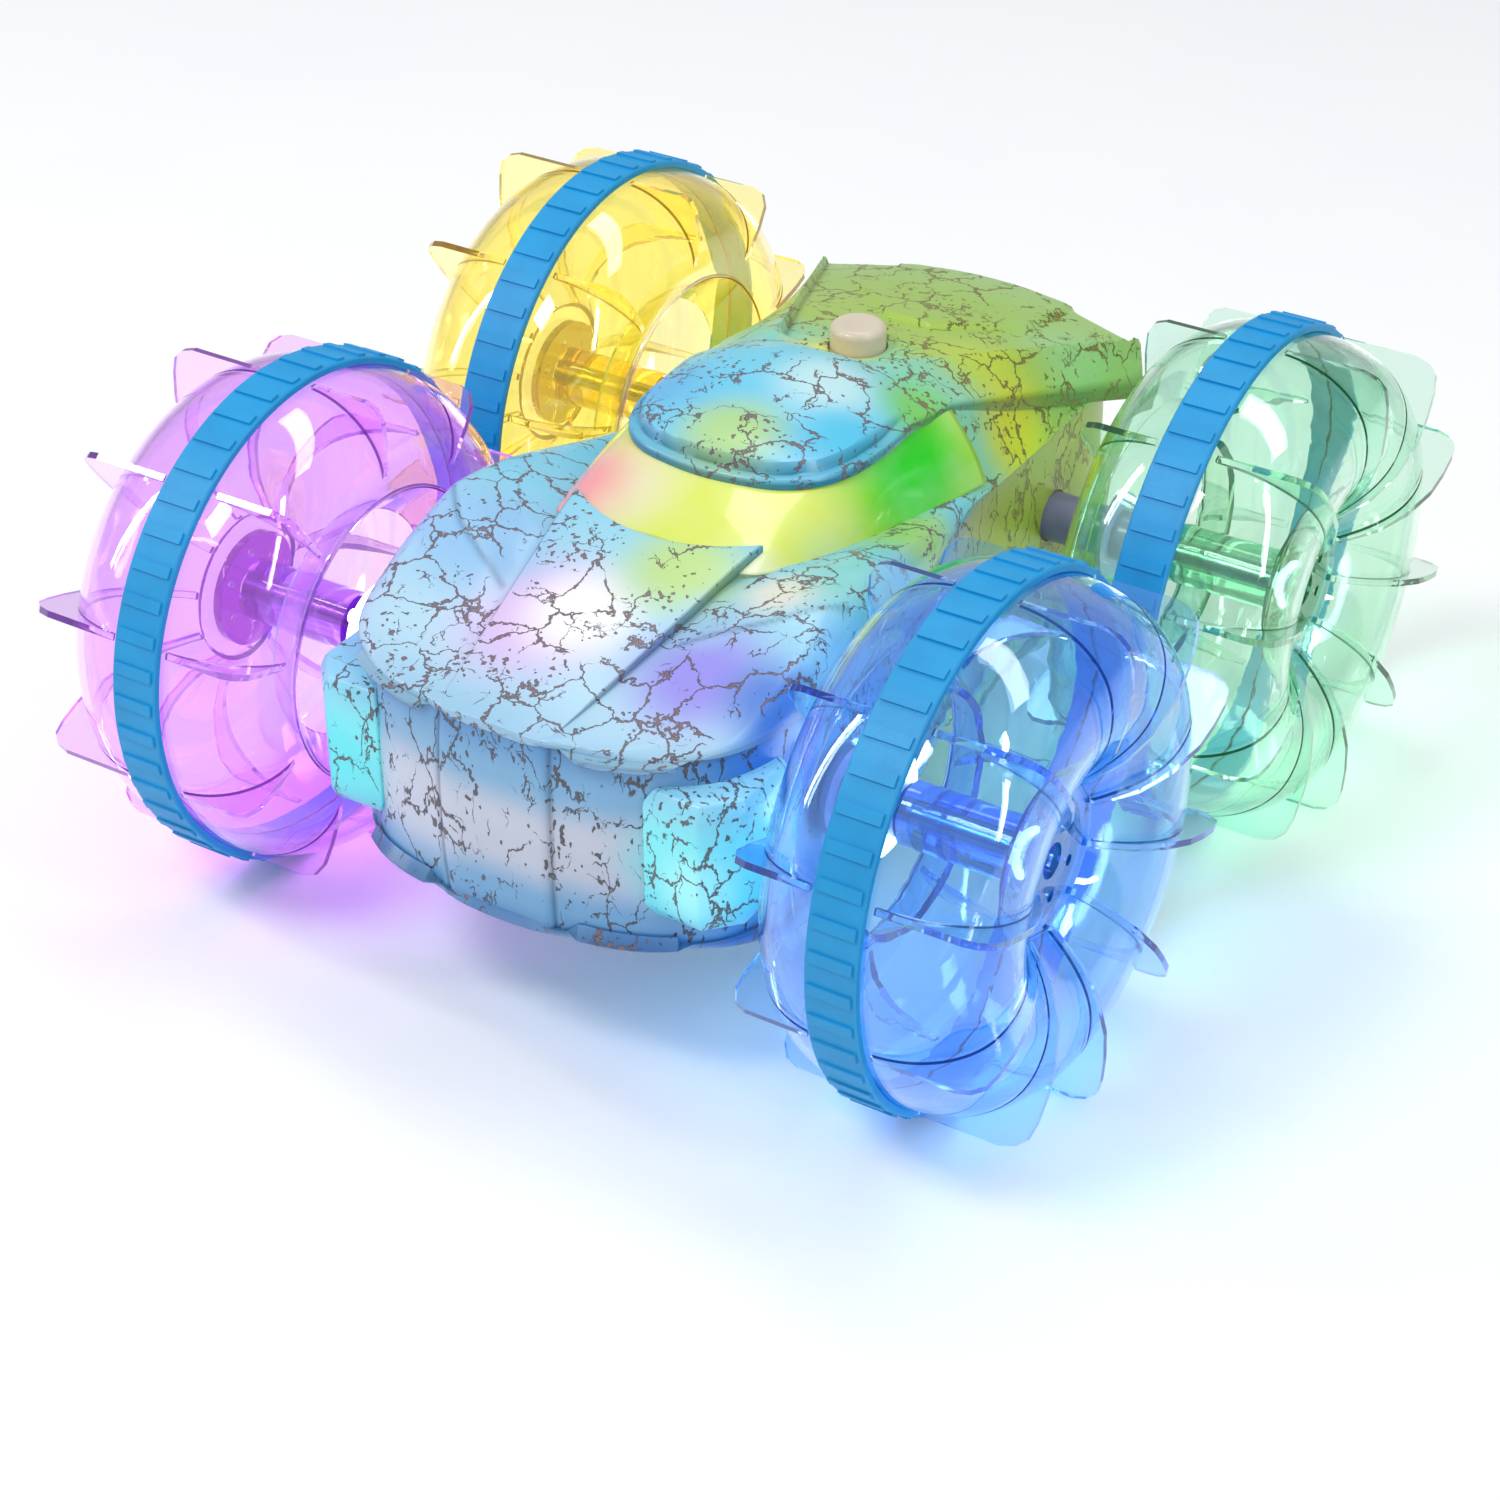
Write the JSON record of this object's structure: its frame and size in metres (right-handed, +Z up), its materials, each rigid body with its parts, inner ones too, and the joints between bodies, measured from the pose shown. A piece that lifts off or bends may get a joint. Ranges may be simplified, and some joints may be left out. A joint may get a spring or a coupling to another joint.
{
  "type": "rc stunt car",
  "caption": "Double-sided amphibious remote-control stunt car with large clear paddle wheels, a light-up crackle shell and a push button on its deck.",
  "frame": {"origin": "on the ground under the middle of the four wheels", "axes": "+Z up, -Y the front of the car, +X the car's left"},
  "size_m": [0.219, 0.2258, 0.11],
  "materials": {
    "crackle_shell": "translucent moulded shell with a dark crackle print",
    "window_shell": "smooth frosted moulding lit from inside",
    "blue_clear": "clear blue tinted moulding",
    "purple_clear": "clear purple tinted moulding",
    "green_clear": "clear green tinted moulding",
    "yellow_clear": "clear yellow tinted moulding",
    "tread_rubber": "satin azure rubber",
    "steel": "bright",
    "motor_steel": "plated can",
    "brass": "machined",
    "nylon": "natural nylon",
    "case_plastic": "black moulded",
    "seal_rubber": "soft black rubber",
    "smoke_plastic": "smoked moulded",
    "lamp_board": "white solder mask",
    "circuit_board": "green solder mask",
    "button_plastic": "warm grey moulded cap",
    "battery_wrap": "shrink wrap"
  },
  "bodies": {
    "chassis": {"belt_frame": "crackle_shell", "upper_cover": "crackle_shell", "lower_cover": "crackle_shell", "upper_window": "window_shell", "lower_window": "window_shell", "left_headlight": "crackle_shell", "right_headlight": "crackle_shell", "battery_door": "crackle_shell", "case_tray": "case_plastic", "case_lid": "case_plastic", "case_gasket": "seal_rubber", "case_screws": "steel", "axle_housings": "smoke_plastic", "axle_bushes": "brass", "axle_seals": "seal_rubber", "wheel_lights": "lamp_board", "gear_pins": "steel", "button_collar": "case_plastic", "button_spring": "steel", "control_board": "circuit_board", "battery_pack": "battery_wrap", "upper_led_board": "lamp_board", "lower_led_board": "lamp_board", "front_left_motor": "motor_steel", "front_right_motor": "motor_steel", "rear_left_motor": "motor_steel", "rear_right_motor": "motor_steel"},
    "power_button": {"power_button": "button_plastic"},
    "front_left_wheel": {"front_left_outer_shell": "blue_clear", "front_left_inner_shell": "blue_clear", "front_left_tread_band": "tread_rubber", "front_left_hub_core": "blue_clear", "front_left_axle": "steel", "front_left_axle_gear": "nylon"},
    "front_left_compound": {"front_left_compound_gear": "nylon"},
    "front_left_pinion": {"front_left_motor_pinion": "brass"},
    "front_right_wheel": {"front_right_outer_shell": "purple_clear", "front_right_inner_shell": "purple_clear", "front_right_tread_band": "tread_rubber", "front_right_hub_core": "purple_clear", "front_right_axle": "steel", "front_right_axle_gear": "nylon"},
    "front_right_compound": {"front_right_compound_gear": "nylon"},
    "front_right_pinion": {"front_right_motor_pinion": "brass"},
    "rear_left_wheel": {"rear_left_outer_shell": "green_clear", "rear_left_inner_shell": "green_clear", "rear_left_tread_band": "tread_rubber", "rear_left_hub_core": "green_clear", "rear_left_axle": "steel", "rear_left_axle_gear": "nylon"},
    "rear_left_compound": {"rear_left_compound_gear": "nylon"},
    "rear_left_pinion": {"rear_left_motor_pinion": "brass"},
    "rear_right_wheel": {"rear_right_outer_shell": "yellow_clear", "rear_right_inner_shell": "yellow_clear", "rear_right_tread_band": "tread_rubber", "rear_right_hub_core": "yellow_clear", "rear_right_axle": "steel", "rear_right_axle_gear": "nylon"},
    "rear_right_compound": {"rear_right_compound_gear": "nylon"},
    "rear_right_pinion": {"rear_right_motor_pinion": "brass"}
  },
  "joints": [
    {"name": "front_left_wheel_spin", "type": "hinge", "parent": "chassis", "child": "front_left_wheel", "pos_m": [0.0797, -0.05792, 0.055], "axis": [1, 0, 0], "continuous": true},
    {"name": "front_left_compound_spin", "type": "hinge", "parent": "chassis", "child": "front_left_compound", "pos_m": [0.0244, -0.04181, 0.055], "axis": [1, 0, 0], "continuous": true},
    {"name": "front_left_pinion_spin", "type": "hinge", "parent": "chassis", "child": "front_left_pinion", "pos_m": [0.0214, -0.02571, 0.055], "axis": [1, 0, 0], "continuous": true},
    {"name": "front_right_wheel_spin", "type": "hinge", "parent": "chassis", "child": "front_right_wheel", "pos_m": [-0.0797, -0.05792, 0.055], "axis": [1, 0, 0], "continuous": true},
    {"name": "front_right_compound_spin", "type": "hinge", "parent": "chassis", "child": "front_right_compound", "pos_m": [-0.0244, -0.04181, 0.055], "axis": [1, 0, 0], "continuous": true},
    {"name": "front_right_pinion_spin", "type": "hinge", "parent": "chassis", "child": "front_right_pinion", "pos_m": [-0.0214, -0.02571, 0.055], "axis": [1, 0, 0], "continuous": true},
    {"name": "rear_left_wheel_spin", "type": "hinge", "parent": "chassis", "child": "rear_left_wheel", "pos_m": [0.0797, 0.05792, 0.055], "axis": [1, 0, 0], "continuous": true},
    {"name": "rear_left_compound_spin", "type": "hinge", "parent": "chassis", "child": "rear_left_compound", "pos_m": [0.0244, 0.04181, 0.055], "axis": [1, 0, 0], "continuous": true},
    {"name": "rear_left_pinion_spin", "type": "hinge", "parent": "chassis", "child": "rear_left_pinion", "pos_m": [0.0214, 0.02571, 0.055], "axis": [1, 0, 0], "continuous": true},
    {"name": "rear_right_wheel_spin", "type": "hinge", "parent": "chassis", "child": "rear_right_wheel", "pos_m": [-0.0797, 0.05792, 0.055], "axis": [1, 0, 0], "continuous": true},
    {"name": "rear_right_compound_spin", "type": "hinge", "parent": "chassis", "child": "rear_right_compound", "pos_m": [-0.0244, 0.04181, 0.055], "axis": [1, 0, 0], "continuous": true},
    {"name": "rear_right_pinion_spin", "type": "hinge", "parent": "chassis", "child": "rear_right_pinion", "pos_m": [-0.0214, 0.02571, 0.055], "axis": [1, 0, 0], "continuous": true},
    {"name": "power_button_press", "type": "slide", "parent": "chassis", "child": "power_button", "axis": [0, 0, -1], "range_m": [0, 0.0015], "stiffness_N_per_m": 800, "deforming": ["button_spring"]}
  ],
  "couplings": [
    {"joint": "front_left_compound_spin", "follows": "front_left_wheel_spin", "ratio": -3},
    {"joint": "front_left_pinion_spin", "follows": "front_left_wheel_spin", "ratio": 12},
    {"joint": "front_right_compound_spin", "follows": "front_right_wheel_spin", "ratio": -3},
    {"joint": "front_right_pinion_spin", "follows": "front_right_wheel_spin", "ratio": 12},
    {"joint": "rear_left_compound_spin", "follows": "rear_left_wheel_spin", "ratio": -3},
    {"joint": "rear_left_pinion_spin", "follows": "rear_left_wheel_spin", "ratio": 12},
    {"joint": "rear_right_compound_spin", "follows": "rear_right_wheel_spin", "ratio": -3},
    {"joint": "rear_right_pinion_spin", "follows": "rear_right_wheel_spin", "ratio": 12}
  ]
}
